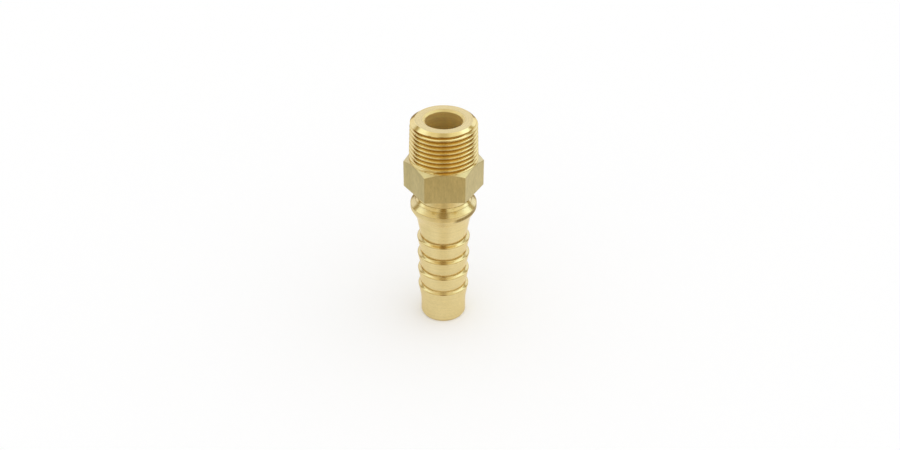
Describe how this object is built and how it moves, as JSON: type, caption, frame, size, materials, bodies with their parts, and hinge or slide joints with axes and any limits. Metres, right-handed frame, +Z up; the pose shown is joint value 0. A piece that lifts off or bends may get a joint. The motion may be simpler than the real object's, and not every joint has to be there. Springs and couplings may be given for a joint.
{
  "type": "hose barb tail",
  "caption": "Brass hose tail: a male taper pipe thread and spanner hexagon above a collared, barbed spigot, with a plain bore right through.",
  "frame": {"origin": "centre of the barbed tail's end face, on which the part stands", "axes": "+Z up the bore axis towards the thread; the hexagon's corners lie on X and two of its flats face +Y and -Y"},
  "size_m": [0.0312, 0.027, 0.0894],
  "materials": {
    "brass": "fine turned, satin on the hexagon's flats"
  },
  "bodies": {
    "root": {"hose_tail": "brass"}
  },
  "joints": []
}
